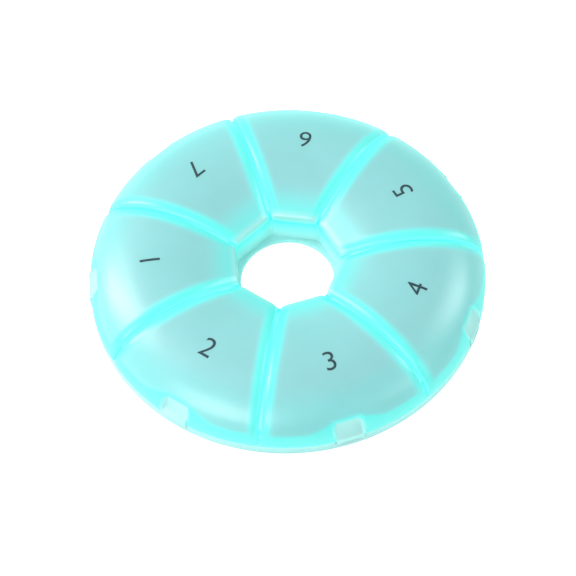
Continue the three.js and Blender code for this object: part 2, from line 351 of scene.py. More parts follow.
def arc(centre: Point, radius: float, start: float, end: float, steps: int) -> list[Point]:
    """Points on an arc.

    Args:
        centre: The arc's centre.
        radius: Its radius.
        start: The first point's angle in degrees.
        end: The last point's angle in degrees.
        steps: How many steps lie between them.

    Returns:
        The points, both ends included.
    """
    angles = [math.radians(mixed(start, end, i / steps)) for i in range(steps + 1)]
    return [(centre[0] + radius * math.cos(a), centre[1] + radius * math.sin(a)) for a in angles]


def feed(node: bpy.types.Node, inputs: dict[str | int, Feed]) -> None:
    """Sets inputs of a node, or links them to other nodes.

    Args:
        node: The node.
        inputs: A number, a colour or another node's output for each input, by its name or place.
    """
    for key, value in inputs.items():
        socket = node.inputs[key]
        if isinstance(value, bpy.types.NodeSocket):
            node.id_data.links.new(value, socket)
        elif socket.type == "RGBA":
            socket.default_value = (*value, 1)
        else:
            socket.default_value = value


def add_node(
    tree: bpy.types.NodeTree, kind: str, inputs: dict[str | int, Feed], **settings: str
) -> bpy.types.Node:
    """Adds a node to a material's or the world's nodes.

    Args:
        tree: The nodes.
        kind: The new node's type, without the words that all types start with.
        inputs: What its inputs get, as feed takes it.
        settings: The node's own settings.

    Returns:
        The node.
    """
    node = tree.nodes.new("ShaderNode" + kind)
    for key, value in settings.items():
        setattr(node, key, value)
    feed(node, inputs)
    return node


def add_noise(tree: bpy.types.NodeTree, size: float) -> bpy.types.NodeSocket:
    """A soft random pattern with blobs of about a size, fixed to the piece."""
    place = add_node(tree, "TexCoord", {})
    return add_node(tree, "TexNoise", {"Vector": place.outputs["Object"], "Scale": 1 / size}).outputs["Fac"]


def new_material(name: str) -> tuple[bpy.types.Material, bpy.types.NodeTree, bpy.types.Node]:
    """Makes a material that has nodes.

    Args:
        name: The material's name.

    Returns:
        The material, its nodes and the shader among them.
    """
    material = bpy.data.materials.new(name)
    material.use_nodes = True
    return material, material.node_tree, material.node_tree.nodes["Principled BSDF"]


@dataclass(frozen=True)
class BoxSizes:
    """The sizes that the tray, the lids and the hinges share."""

    day_count: int = 7
    front_day: int = 3
    outer_radius: float = 45 * MM
    crown_height: float = 13.98 * MM
    crown_radius: float = 28.5 * MM
    hole_radius: float = 10.7 * MM
    floor: float = 1.4 * MM
    rim_height: float = 3.3 * MM
    seam_gap: float = 0.3 * MM
    lid_gap: float = 0.8 * MM
    lid_wall: float = 1.15 * MM
    flange_depth: float = 1.5 * MM
    seat_clearance: float = 0.3 * MM
    hub_inradius: float = 11.4 * MM
    hub_wall: float = 1.2 * MM
    lip_height: float = 9.6 * MM
    lip_overhang: float = 0.15 * MM
    upstand_outer: float = 43.35 * MM
    upstand_inner: float = 42.25 * MM
    upstand_top: float = 5.2 * MM
    hinge_set_back: float = 0.05 * MM
    strap_width: float = 6.4 * MM
    strap_thickness: float = 0.3 * MM
    pocket_clearance: float = 0.15 * MM
    tab_top: float = 2.75 * MM
    lug_bottom: float = 4.15 * MM
    weld: float = 0.2 * MM
    overrun: float = 1 * MM
    steps_per_day: int = 36

    @property
    def half_day(self) -> float:
        """Half of the angle that one lid takes."""
        return math.pi / self.day_count

    @property
    def skirt_bottom(self) -> float:
        """Height of the lids' lower edge."""
        return self.rim_height + self.seam_gap

    @property
    def lip(self) -> float:
        """Distance of the lids' straight inner edge from the middle of the hole."""
        return self.hub_inradius - self.lip_overhang

    @property
    def hub_outer(self) -> float:
        """Distance of the hub wall's outer flats from the middle of the hole."""
        return self.hub_inradius + self.hub_wall

    @property
    def hinge(self) -> Point:
        """The hinge axis in a day's frame: outwards and up."""
        return self.outer_radius - self.hinge_set_back, self.rim_height + self.seam_gap / 2

    @property
    def pocket_back(self) -> float:
        """How far out the rim and the skirt still reach behind a strap."""
        return self.hinge[0] - self.strap_thickness / 2 - self.pocket_clearance

    def facing(self, day: int) -> float:
        """The direction that a day's lid faces, as an angle from +X."""
        return (day - self.front_day) * 2 * self.half_day - math.pi / 2

    def border_distance(self, x: float, y: float) -> float:
        """How far a point of a day's frame is from the nearer edge of its lid, in plan."""
        inside = x * math.sin(self.half_day) - abs(y) * math.cos(self.half_day)
        return inside - self.lid_gap / 2

    def dome_height(self, radius: float) -> float:
        """Height of the lids' unrounded outside, where its rows are circles.

        Args:
            radius: Distance from the middle of the hole.

        Returns:
            The height.
        """
        run = self.outer_radius - self.crown_radius
        if radius <= self.crown_radius:
            left = (self.crown_radius - radius) / (self.crown_radius - self.lip)
            return self.crown_height - (self.crown_height - self.lip_height) * left**2
        out = min(1.0, (radius - self.crown_radius) / run)
        return self.skirt_bottom + (self.crown_height - self.skirt_bottom) * math.sqrt(1 - out * out)

    def divider_top(self, radius: float) -> float:
        """Height of the dividers' tops, a clearance below the flanges of the lids."""
        return self.dome_height(radius) - (self.flange_depth + self.seat_clearance)


@dataclass(frozen=True)
class Recess:
    """The wheel-shaped hollow in a lid's skirt that leaves room for the hinge."""

    radius: float = 6 * MM
    width: float = 7 * MM
    corner_round: float = 1.1 * MM
    foot: Point = (45.05 * MM, 4.45 * MM)
    head: Point = (43 * MM, 7.6 * MM)
    wall: float = 0.8 * MM
    wall_lap: float = 0.8 * MM

    @property
    def centre(self) -> Point:
        """Works out the wheel's middle from the foot and the head.

        Returns:
            The middle: outwards and up.
        """
        foot, head = Vector(self.foot), Vector(self.head)
        chord = head - foot
        outwards = Vector((chord.y, -chord.x)).normalized()
        reach = math.sqrt(self.radius**2 - chord.length_squared / 4)
        middle = (foot + head) / 2 + outwards * reach
        return middle.x, middle.y

    def distance(self, point: Vector) -> float:
        """How far a point lies outside the wheel.

        Args:
            point: A point in a day's own frame.

        Returns:
            The distance, which is negative inside.
        """
        x, z = self.centre
        out = math.hypot(point.x - x, point.z - z) - self.radius
        side = abs(point.y) - self.width / 2
        if out <= 0 or side <= 0:
            return max(out, side)
        return math.hypot(out, side)


def strap_pocket(sizes: BoxSizes, bottom: float, top: float) -> bpy.types.Object:
    """What is cut out of the rim's and the skirt's edges, so that the strap lies in line with them.

    Args:
        sizes: The shared sizes.
        bottom: Height where the pocket starts.
        top: Height where it ends.

    Returns:
        The cutter, in a day's own frame.
    """
    inner, outer = sizes.pocket_back, sizes.outer_radius + sizes.overrun
    width = sizes.strap_width + 2 * sizes.pocket_clearance
    return across([(inner, bottom), (outer, bottom), (outer, top), (inner, top)], width, "strap_pocket")


@dataclass(frozen=True)
class FrostedPlastic:
    """Frosted, translucent moulded plastic, with painted shade and a painted glow in its colours.

    The four values that a Light writes on the mesh steer it: three mix its colours, towards painted shade,
    towards a painted glow along thick edges and towards the paler tone of thin walls that let light through,
    and the fourth sets how strongly a point emits a painted glow.
    """

    name: str
    core: Colour
    panel: Colour
    rim: Colour
    thin: Colour
    piped: Colour = colour(128, 248, 234)
    sheen_tint: Colour = colour(90, 250, 236)
    pipe_level: float = 0.6
    roughness: float = 0.36
    gloss_level: float = 0.5
    refraction: float = 1.49
    sheen: float = 0.7
    sheen_roughness: float = 0.6
    mottle_size: float = 9 * MM
    mottle_share: float = 0.05
    grain_size: float = 0.12 * MM
    grain_height: float = 0.006 * MM
    translucency: float = 0.5
    light_reach: float = 2 * MM
    reach_by_colour: Colour = (0.5, 1, 1)

    def made(self) -> bpy.types.Material:
        """Builds the material's nodes.

        Returns:
            The material.
        """
        material, tree, shader = new_material(self.name)
        tone = self.panel
        # Painted shade darkens towards core, and a painted glow brightens towards rim, which is also the
        # deeper tone of thick plastic; thin walls that let light through turn paler towards thin.
        for steer, towards in (("panel_core", self.core), ("edge_glow", self.rim), ("thin_wall", self.thin)):
            share = self._steer(tree, steer)
            mix = add_node(tree, "Mix", {"Factor": share, "A": tone, "B": towards}, data_type="RGBA")
            tone = mix.outputs["Result"]

        low, high = 1 - self.mottle_share, 1 + self.mottle_share
        mottle = add_noise(tree, self.mottle_size)
        level = add_node(tree, "MapRange", {"Value": mottle, "To Min": low, "To Max": high})
        shade = add_node(tree, "HueSaturation", {"Value": level.outputs["Result"], "Color": tone})
        grain = add_noise(tree, self.grain_size)
        bump = add_node(tree, "Bump", {"Height": grain, "Distance": self.grain_height})
        # Emission paints a glow on gaps, hollows and edges that would otherwise lie in shade.
        piped = {0: self._steer(tree, "light_pipe"), 1: self.pipe_level}
        pipe = add_node(tree, "Math", piped, operation="MULTIPLY")

        feed(
            shader,
            {
                "Base Color": shade.outputs["Color"],
                "Normal": bump.outputs["Normal"],
                "Emission Color": self.piped,
                "Emission Strength": pipe.outputs["Value"],
                "Sheen Weight": self.sheen,
                "Sheen Roughness": self.sheen_roughness,
                "Sheen Tint": self.sheen_tint,
                "Specular IOR Level": self.gloss_level,
                "Roughness": self.roughness,
                "IOR": self.refraction,
                "Subsurface Weight": self.translucency,
                "Subsurface Scale": self.light_reach,
                "Subsurface Radius": self.reach_by_colour,
            },
        )
        return material

    @staticmethod
    def _steer(tree: bpy.types.NodeTree, name: str) -> bpy.types.NodeSocket:
        """The output of a node that reads one of the mesh's four values."""
        return add_node(tree, "Attribute", {}, attribute_name=name).outputs["Fac"]


@dataclass(frozen=True)
class PrintedInk:
    """Dark pad-printed ink, slightly worn."""

    name: str = "numeral_ink"
    full: Colour = colour(6, 46, 54)
    worn: Colour = colour(22, 68, 76)
    wear_size: float = 0.6 * MM
    wear_start: float = 0.45
    wear_end: float = 0.75
    roughness: float = 0.5

    def made(self) -> bpy.types.Material:
        """Builds the material's nodes.

        Returns:
            The material.
        """
        material, tree, shader = new_material(self.name)
        ramp = add_node(tree, "ValToRGB", {"Fac": add_noise(tree, self.wear_size)})
        stops = ((self.wear_start, self.full), (self.wear_end, self.worn))
        for element, (position, tone) in zip(ramp.color_ramp.elements, stops):
            element.position = position
            element.color = (*tone, 1)
        feed(shader, {"Base Color": ramp.outputs["Color"], "Roughness": self.roughness})
        return material


class Light:
    """How light and shade are painted on a moulding at a point of its mesh: four values, which steer
    FrostedPlastic.

    Each kind of moulding has spans of its own. A span says where a change starts and where it ends.
    """

    def panel_core(self, point: Vector) -> float:
        """1 where shade is painted, as in the dim middle of a panel."""
        return 0.0

    def edge_glow(self, point: Vector) -> float:
        """1 where a glow is painted, as along the thick edges."""
        return 0.0

    def thin_wall(self, point: Vector) -> float:
        """1 where a single thin wall lets the light through."""
        return 0.0

    def light_pipe(self, point: Vector) -> float:
        """How strongly a painted glow is emitted."""
        return 0.0

    def write(self, piece: bpy.types.Object) -> None:
        """Stores the four values at each point of a piece's mesh.

        Args:
            piece: The piece, in the frame that the values are worked out in.
        """
        for name in STEERS:
            value_at = getattr(self, name)
            values = piece.data.attributes.new(name, "FLOAT", "POINT")
            values.data.foreach_set("value", [value_at(vertex.co) for vertex in piece.data.vertices])


@dataclass(frozen=True)
class LidLight(Light):
    """A lid's painted light: shade in the middle, a glow along its edges, pale on the lip and in the hinge
    recess.
    """

    sizes: BoxSizes
    recess: Recess
    # Painted shade over the middle of the panel, in from its sides and out from the hub.
    core_from_side: Span = (1 * MM, 3.5 * MM)
    core_from_hub: Span = (14 * MM, 22 * MM)
    core_at_hub: float = 0.6
    # Painted glow along the sides, the lip, the shoulder and the skirt; on the lip and the shoulder it stands
    # in for how they brighten when seen at a slant.
    side_band: Span = (1.2 * MM, 2.9 * MM)
    lip_band: Span = (1 * MM, 8 * MM)
    lip_glow: float = 0.66
    shoulder: Span = (34 * MM, 42 * MM)
    shoulder_glow: float = 0.25
    skirt_band: Span = (6.4 * MM, 7.7 * MM)
    arch: Span = (1 * MM, 10 * MM)
    arch_rise: float = 2 * MM
    # Painted glow, emitted on the gaps' walls, at the seam, on the lip's end face, at the recess's sides and
    # a little along the edges, where shade would otherwise fall.
    gap_wall: Span = (0.02 * MM, 0.25 * MM)
    seam: Span = (0, 0.15 * MM)
    seam_pipe: float = 0.4
    lip_face: Span = (0.01 * MM, 0.08 * MM)
    lip_face_pipe: float = 0.4
    lip_line: Span = (0.2 * MM, 1.6 * MM)
    recess_skin: float = 0.15 * MM
    recess_side: Span = (2.5 * MM, 3.2 * MM)
    recess_side_pipe: float = 0.2
    edge_pipe: float = 0.05
    patch_top: float = 8 * MM
    patch_half: float = 3.45 * MM
    patch_corner: float = 1.3 * MM
    patch_edge: Span = (-0.35 * MM, 0.35 * MM)

    def panel_core(self, point: Vector) -> float:
        """Painted shade: 1 in the middle of the panel and out to the shoulder, less near the hub, 0 along the
        sides.

        Args:
            point: A point of the lid, in a day's own frame.

        Returns:
            The value, from 0 to 1.
        """
        inward = smooth_step(*self.core_from_side, self.sizes.border_distance(point.x, point.y))
        outward = smooth_step(*self.core_from_hub, math.hypot(point.x, point.y))
        return inward * mixed(self.core_at_hub, 1, outward)

    def edge_glow(self, point: Vector) -> float:
        """Painted glow, with the deeper tone of thick plastic: 1 along the sides and the skirt, less along
        the lip and on the shoulder, 0 in the middle.

        Args:
            point: A point of the lid, in a day's own frame.

        Returns:
            The value, from 0 to 1.
        """
        radius = math.hypot(point.x, point.y)
        side = 1 - smooth_step(*self.side_band, self.sizes.border_distance(point.x, point.y))
        lip = self.lip_glow * (1 - smooth_step(*self.lip_band, point.x - self.sizes.lip))
        shoulder = self.shoulder_glow * smooth_step(*self.shoulder, radius)
        skirt = 0.0
        if radius > self.sizes.crown_radius:
            rise = self.arch_rise * (1 - smooth_step(*self.arch, abs(point.y)))
            skirt = 1 - smooth_step(*self.skirt_band, point.z - rise)
        return max(side, lip, shoulder, skirt)

    def thin_wall(self, point: Vector) -> float:
        """1 along the top of the lip, and in a patch with rounded upper corners in the hinge recess.

        Args:
            point: A point of the lid, in a day's own frame.

        Returns:
            The value, from 0 to 1.
        """
        if not self._in_recess(point):
            return self._behind_lip(point) * (1 - smooth_step(*self.lip_line, point.x - self.sizes.lip))
        across_corner = max(0.0, abs(point.y) - self.patch_half + self.patch_corner)
        above_corner = max(0.0, point.z - self.patch_top + self.patch_corner)
        return 1 - smooth_step(*self.patch_edge, math.hypot(across_corner, above_corner) - self.patch_corner)

    def light_pipe(self, point: Vector) -> float:
        """Strength of the emitted painted glow: 1 on the walls of the gaps, less at the seam, on the lip's
        end face and at the recess's sides.

        Args:
            point: A point of the lid, in a day's own frame.

        Returns:
            The value, from 0 to 1.
        """
        wall = 1 - smooth_step(*self.gap_wall, self.sizes.border_distance(point.x, point.y))
        seam = 1 - smooth_step(*self.seam, point.z - self.sizes.skirt_bottom)
        side = smooth_step(*self.recess_side, abs(point.y)) if self._in_recess(point) else 0.0
        return max(
            wall,
            self.seam_pipe * seam,
            self.lip_face_pipe * (1 - self._behind_lip(point)),
            self.recess_side_pipe * side,
            self.edge_pipe * self.edge_glow(point),
        )

    def _behind_lip(self, point: Vector) -> float:
        """0 on the upright face at the lip's end, 1 just behind it."""
        return smooth_step(*self.lip_face, point.x - self.sizes.lip)

    def _in_recess(self, point: Vector) -> bool:
        """Whether a point is on the surface of the hinge recess."""
        return self.recess.distance(point) <= self.recess_skin and point.x >= self.sizes.upstand_inner


@dataclass(frozen=True)
class TrayLight(Light):
    """The tray's painted light: shade on its foot and low in the compartments, a glow on the hub wall and the
    dividers, pale on the rim and the hole's ledge.
    """

    sizes: BoxSizes
    # Painted shade on the rounding that the box stands on and low in the compartments.
    foot_out: Span = (-1.5 * MM, -1 * MM)
    foot_up: Span = (0.7 * MM, 1.3 * MM)
    behind_hub: Span = (0.3 * MM, 1.2 * MM)
    compartment_up: Span = (0, 5 * MM)
    hub_wall: Span = (1 * MM, 2 * MM)
    ledge_up: Span = (0.05 * MM, 0.3 * MM)
    rim_side: Span = (-1 * MM, -0.4 * MM)
    rim_top: Span = (-0.1 * MM, -0.02 * MM)
    seam_depth: Span = (0, 0.5 * MM)
    divider_side: Span = (0.7 * MM, 1.5 * MM)
    divider_rise: Span = (-0.8 * MM, -0.3 * MM)
    # Strengths of the emitted painted glow, which lifts the rim, the dividers' ends, the hub wall and the
    # ledge out of their shade.
    rim_pipe: float = 0.35
    rim_pipe_at_divider: float = 1.5
    hub_pipe: float = 0.35
    ledge_pipe: float = 0.3

    def panel_core(self, point: Vector) -> float:
        """Painted shade: 1 on the rounded edge that the box stands on and low in the compartments.

        Args:
            point: A point of the tray.

        Returns:
            The value, from 0 to 1.
        """
        radius = math.hypot(point.x, point.y)
        foot = smooth_step(*self.foot_out, radius - self.sizes.outer_radius)
        foot *= 1 - smooth_step(*self.foot_up, point.z)
        if radius >= self.sizes.upstand_inner + self.sizes.weld:
            return foot
        low = 1 - smooth_step(*self.compartment_up, point.z - self.sizes.floor)
        return max(foot, low * smooth_step(*self.behind_hub, radius - self.sizes.hub_outer))

    def edge_glow(self, point: Vector) -> float:
        """A painted glow: 1 on the hub wall, 0 on the rest of the tray."""
        near_hub = 1 - smooth_step(*self.hub_wall, math.hypot(point.x, point.y) - self.sizes.hub_outer)
        return near_hub * smooth_step(*self.ledge_up, point.z - self.sizes.floor)

    def thin_wall(self, point: Vector) -> float:
        """1 on the outside of the rim and on the hole's ledge, where the light comes through one wall."""
        outside = smooth_step(*self.rim_side, math.hypot(point.x, point.y) - self.sizes.outer_radius)
        return max(self._ledge(point), outside * (1 - self.panel_core(point)))

    def light_pipe(self, point: Vector) -> float:
        """Strength of the emitted painted glow: 1 on the dividers' tops and more where they end at the seam,
        less on the hub wall and the ledge.

        Args:
            point: A point of the tray.

        Returns:
            The value, 0 or more.
        """
        radius = math.hypot(point.x, point.y)
        if radius > self.sizes.upstand_inner - self.sizes.weld:
            behind_seam = 1 - smooth_step(*self.seam_depth, radius - self.sizes.upstand_outer)
            level = mixed(self.rim_pipe, self.rim_pipe_at_divider, self._near_divider(point) * behind_seam)
            return level * smooth_step(*self.rim_top, point.z - self.sizes.rim_height)
        top = smooth_step(*self.divider_rise, point.z - self.sizes.divider_top(radius))
        on_divider = top if radius > self.sizes.hub_outer else 0.0
        return max(on_divider, self.hub_pipe * self.edge_glow(point), self.ledge_pipe * self._ledge(point))

    def _near_divider(self, point: Vector) -> float:
        """1 in line with a divider, 0 a little way off to its sides.

        Args:
            point: A point of the tray.

        Returns:
            The value, from 0 to 1.
        """
        turn = math.atan2(point.y, point.x) - self.sizes.facing(1) - self.sizes.half_day
        off = math.hypot(point.x, point.y) * abs(math.sin(math.remainder(turn, 2 * self.sizes.half_day)))
        return 1 - smooth_step(*self.divider_side, off)

    def _ledge(self, point: Vector) -> float:
        """1 on the ledge round the hole, 0 from the hub wall outwards.

        Args:
            point: A point of the tray.

        Returns:
            The value, from 0 to 1.
        """
        if math.hypot(point.x, point.y) > self.sizes.hub_outer:
            return 0.0
        return 1 - smooth_step(*self.ledge_up, point.z - self.sizes.floor)


@dataclass(frozen=True)
class StrapLight(Light):
    """A strap's light: one thin wall with a faint painted glow all over."""

    pipe: float = 0.1

    def thin_wall(self, point: Vector) -> float:
        """1 all over."""
        return 1.0

    def light_pipe(self, point: Vector) -> float:
        """The same all over."""
        return self.pipe


@dataclass(frozen=True)
class Column:
    """A line of a lid's grid that runs from the lip to the skirt, straight in plan."""

    lip: Vector
    skirt: Vector
    side_distance: float
    zone: Zone

    def at_distance(self, x: float) -> Vector:
        """Its point at a distance from the hub's middle, measured square to the lip."""
        return self.lip.lerp(self.skirt, (x - self.lip.x) / (self.skirt.x - self.lip.x))

    def at_radius(self, radius: float) -> Vector:
        """Finds its point at a radius.

        Args:
            radius: Distance from the middle of the hole.

        Returns:
            The point, in plan.
        """
        run = self.skirt - self.lip
        a = run.length_squared
        b = self.lip.dot(run)
        c = self.lip.length_squared - radius**2
        return self.lip + run * ((math.sqrt(b * b - a * c) - b) / a)


@dataclass(frozen=True)
class Row:
    """A line of a lid's grid that runs across it: where it meets a column in plan, and the dome there."""

    plan: Callable[[Column], Vector]
    height: float
    normal: Vector
    drop: float
    skirt_share: float
    zone: Zone


@dataclass
class Lid:
    """One lid: a lofted shell with a flange, a plug rib, a lip and a hinge recess."""

    sizes: BoxSizes
    recess: Recess
    edge_round_width: float = 2.1 * MM
    edge_round_depth: float = 0.8 * MM
    skirt_round_depth: float = 0.45 * MM
    lip_round_width: float = 0.9 * MM
    lip_round_depth: float = 0.45 * MM
    plug_height: float = 1.8 * MM
    plug_thickness: float = 0.9 * MM
    plug_draft: float = 0.2 * MM
    plug_side_start: float = 0.55 * MM
    plug_lip_start: float = 13.05 * MM
    plug_end_setback: float = 3.5 * MM
    lug_radius: float = 45.05 * MM
    lug_root_depth: float = 0.8 * MM
    lug_width: float = 6.9 * MM
    corner_round: float = 0.14 * MM
    round_spans: int = 7
    middle_spans: int = 34
    dome_spans: int = 16
    crown_spans: int = 9
    shoulder_spans: int = 22
    wheel_steps: int = 144
    wall_steps: int = 30
    wheel_round_steps: int = 6
    line_room: float = 0.06 * MM
    least_slope: float = 0.1

    def made(self) -> bpy.types.Object:
        """Builds a lid in a day's own frame.

        Returns:
            The lid.
        """
        lid = self._shell()
        work(lid, self._recess_wall(), Join.ADD)
        work(lid, self._lug(), Join.ADD)
        work(lid, self._wheel(self.recess.radius, self.recess.width, self.recess.corner_round), Join.CUT)
        work(lid, strap_pocket(self.sizes, self.sizes.rim_height, self.sizes.lug_bottom), Join.CUT)
        tidy(lid)
        soften(lid, self.corner_round)
        LidLight(self.sizes, self.recess).write(lid)
        return lid

    def _round_drop(self, distance: float, width: float, depth: float) -> float:
        """How far a rounded edge lies below the surface, at a distance in from the edge."""
        left = max(0.0, 1 - distance / width)
        return depth * (1 - math.sqrt(1 - left * left))

    def _round_steps(self, width: float) -> list[float]:
        """Distances that divide a rounded edge evenly along its curve."""
        angles = [math.pi / 2 * i / self.round_spans for i in range(self.round_spans + 1)]
        return [width * (1 - math.cos(angle)) for angle in angles]

    def _plug_steps(self, start: float) -> list[tuple[float, Zone]]:
        """The four lines of the plug rib: where it starts, its two lower edges and where it ends.

        Args:
            start: Where it starts, in from the lid's edge.

        Returns:
            The lines' distances from the lid's edge, with what the underside does there.
        """
        inner = start + self.plug_draft + self.plug_thickness
        return [
            (start, Zone.FLANGE),
            (start + self.plug_draft, Zone.PLUG),
            (inner, Zone.PLUG),
            (inner + self.plug_draft, Zone.PANEL),
        ]

    def _edge_steps(self, round_width: float, plug_start: float) -> list[tuple[float, Zone]]:
        """Distances from an edge of the lid, with what the underside does there.

        Args:
            round_width: The width of the edge's rounding.
            plug_start: Where the plug rib starts.

        Returns:
            The distances in order.
        """
        steps = self._plug_steps(plug_start)
        lines = [distance for distance, _ in steps]
        for distance in self._round_steps(round_width):
            if min(abs(distance - line) for line in lines) < self.line_room:
                continue
            zone = Zone.FLANGE
            if lines[1] < distance < lines[2]:
                zone = Zone.PLUG
            elif distance > lines[3]:
                zone = Zone.PANEL
            steps.append((distance, zone))
        return sorted(steps, key=lambda step: step[0])

    def _side_column(self, side: int, distance: float, zone: Zone) -> Column:
        """The column at a steady distance from one of the lid's sides.

        Args:
            side: The side, which is -1 or 1, as its Y.
            distance: How far in from it the column runs.
            zone: What the underside does along it.

        Returns:
            The column.
        """
        half = self.sizes.half_day
        from_border = self.sizes.lid_gap / 2 + distance
        along = math.sqrt(self.sizes.outer_radius**2 - from_border**2)
        lip_y = (self.sizes.lip * math.sin(half) - from_border) / math.cos(half)
        skirt_x = from_border * math.sin(half) + along * math.cos(half)
        skirt_y = along * math.sin(half) - from_border * math.cos(half)
        lip = Vector((self.sizes.lip, side * lip_y))
        return Column(lip, Vector((skirt_x, side * skirt_y)), distance, zone)

    def _columns(self) -> list[Column]:
        """Lays out the grid's columns.

        Returns:
            The columns, from one side of the lid to the other.
        """
        steps = self._edge_steps(self.edge_round_width, self.plug_side_start)
        right = [self._side_column(-1, distance, zone) for distance, zone in steps]
        left = [self._side_column(1, distance, zone) for distance, zone in reversed(steps)]
        last = left[0]
        middle = []
        for i in range(1, self.middle_spans):
            share = 2 * i / self.middle_spans - 1
            angle = share * math.atan2(last.skirt.y, last.skirt.x)
            lip = Vector((self.sizes.lip, share * last.lip.y))
            skirt = Vector((math.cos(angle), math.sin(angle))) * self.sizes.outer_radius
            middle.append(Column(lip, skirt, self.edge_round_width, Zone.PANEL))
        return [*right, *middle, *left]

    def _inner_row(self, x: float, share: float, zone: Zone) -> Row:
        """A row of the dome's inner half, which is straight near the lip and round at the crown.

        Args:
            x: How far out it is, measured square to the lip.
            share: Its share of the way from straight to round.
            zone: What the underside does along it.

        Returns:
            The row.
        """
        span = self.sizes.crown_radius - self.sizes.lip
        rise = self.sizes.crown_height - self.sizes.lip_height
        left = (self.sizes.crown_radius - x) / span
        normal = Vector((-2 * rise * left / span, 1)).normalized()
        drop = self._round_drop(x - self.sizes.lip, self.lip_round_width, self.lip_round_depth)
        straight_x = min(x, self._panel_start)

        def plan(column: Column) -> Vector:
            """The row's point on a column.

            Args:
                column: A column of the grid.

            Returns:
                The point, in plan.
            """
            straight = column.at_distance(straight_x)
            if share == 0:
                return straight
            return straight.lerp(column.at_radius(self.sizes.crown_radius), share)

        return Row(plan, self.sizes.crown_height - rise * left**2, normal, drop, 0.0, zone)

    def _outer_row(self, angle: float, skirt_share: float, zone: Zone) -> Row:
        """A row of the dome's outer half, which falls to the skirt as a quarter of an ellipse.

        Args:
            angle: Its place on the ellipse in radians, 0 at the crown.
            skirt_share: Its share of the way from the shoulder to the skirt's lower edge.
            zone: What the underside does along it.

        Returns:
            The row.
        """
        run = self.sizes.outer_radius - self.sizes.crown_radius
        fall = self.sizes.crown_height - self.sizes.skirt_bottom
        normal = Vector((math.sin(angle) / run, math.cos(angle) / fall)).normalized()
        radius = self.sizes.crown_radius + run * math.sin(angle)
        height = self.sizes.skirt_bottom + fall * math.cos(angle)
        return Row(lambda column: column.at_radius(radius), height, normal, 0.0, skirt_share, zone)

    @property
    def _panel_start(self) -> float:
        """Where the plug rib along the lip ends and the dome's rows begin to turn round."""
        return self.plug_lip_start + 2 * self.plug_draft + self.plug_thickness

    def _rows(self) -> list[Row]:
        """Lays out the grid's rows.

        Returns:
            The rows, from the lip to the skirt's lower edge.
        """
        lip = self.sizes.lip
        steps = self._edge_steps(self.lip_round_width, self.plug_lip_start - lip)
        rows = [self._inner_row(lip + distance, 0, zone) for distance, zone in steps]
        for i in range(1, self.dome_spans + 1):
            share = i / self.dome_spans
            x = mixed(self._panel_start, self.sizes.crown_radius, share)
            rows.append(self._inner_row(x, share, Zone.PANEL))
        run = self.sizes.outer_radius - self.sizes.crown_radius
        plug_end = self.sizes.upstand_inner - self.plug_end_setback
        stop = math.asin((plug_end - self.sizes.crown_radius) / run)
        shoulder = math.asin((plug_end + self.plug_draft - self.sizes.crown_radius) / run)
        for i in range(1, self.crown_spans + 1):
            rows.append(self._outer_row(stop * i / self.crown_spans, 0, Zone.PANEL))
        for i in range(self.shoulder_spans + 1):
            share = i / self.shoulder_spans
            rows.append(self._outer_row(mixed(shoulder, math.pi / 2, share), share, Zone.SHOULDER))
        return rows

    def _outside(self, column: Column, row: Row) -> Vector:
        """A point of the lid's outside, let down along the normal where an edge is rounded.

        Args:
            column: A column of the grid.
            row: A row of the grid.

        Returns:
            The point where they meet.
        """
        plan = row.plan(column)
        depth = mixed(self.edge_round_depth, self.skirt_round_depth, row.skirt_share)
        drop = math.hypot(self._round_drop(column.side_distance, self.edge_round_width, depth), row.drop)
        inward = plan.normalized() * -row.normal.x * drop
        return Vector((plan.x + inward.x, plan.y + inward.y, row.height - row.normal.y * drop))

    def _below(self, column: Column, row: Row, depth: float) -> Vector:
        """A point at a depth under the unrounded outside: straight below the dome, square to the skirt.

        Args:
            column: A column of the grid.
            row: A row of the grid.
            depth: The depth.

        Returns:
            The point where they meet.
        """
        plan = row.plan(column)
        inward = plan.normalized() * -row.normal.x * depth * row.skirt_share
        straight_fall = depth / row.normal.y if row.normal.y > self.least_slope else depth
        fall = mixed(straight_fall, row.normal.y * depth, row.skirt_share)
        return Vector((plan.x + inward.x, plan.y + inward.y, row.height - fall))

    def _inside(self, column: Column, row: Row) -> Vector:
        """A point of the lid's inside: a thick flange at the edges, then the plug rib, then the panel.

        Args:
            column: A column of the grid.
            row: A row of the grid.

        Returns:
            The point where they meet.
        """
        if row.zone is Zone.SHOULDER:
            edge_depth = mixed(self.sizes.flange_depth, self.sizes.lid_wall, row.skirt_share)
            depth = self.sizes.lid_wall if column.zone is Zone.PANEL else edge_depth
            return self._below(column, row, depth)
        zones = (column.zone, row.zone)
        if Zone.FLANGE in zones:
            return self._below(column, row, self.sizes.flange_depth)
        if Zone.PLUG in zones:
            return self._below(column, row, self.sizes.flange_depth) - Vector((0, 0, self.plug_height))
        return self._below(column, row, self.sizes.lid_wall)

    def _shell(self) -> bpy.types.Object:
        """Lofts the shell: a grid is extruded into a slab, and each of its points is put on the shell.

        Returns:
            The closed shell.
        """
        columns, rows = self._columns(), self._rows()
        across_count, along_count = len(columns) - 1, len(rows) - 1
        bpy.ops.object.select_all(action="DESELECT")
        bpy.ops.mesh.primitive_grid_add(x_subdivisions=across_count, y_subdivisions=along_count, size=1)
        shell = bpy.context.object
        shell.name = "lid_form"
        with editing(shell):
            bpy.ops.mesh.select_all(action="SELECT")
            bpy.ops.mesh.extrude_region_move(TRANSFORM_OT_translate={"value": (0, 0, 1)})
        # The slab is a metre wide, about the origin, and a metre thick.
        for vertex in shell.data.vertices:
            column = columns[round((vertex.co.x + 0.5) * across_count)]
            row = rows[round((vertex.co.y + 0.5) * along_count)]
            place = self._outside if vertex.co.z > 0.5 else self._inside
            vertex.co = place(column, row)
        tidy(shell)
        return shell

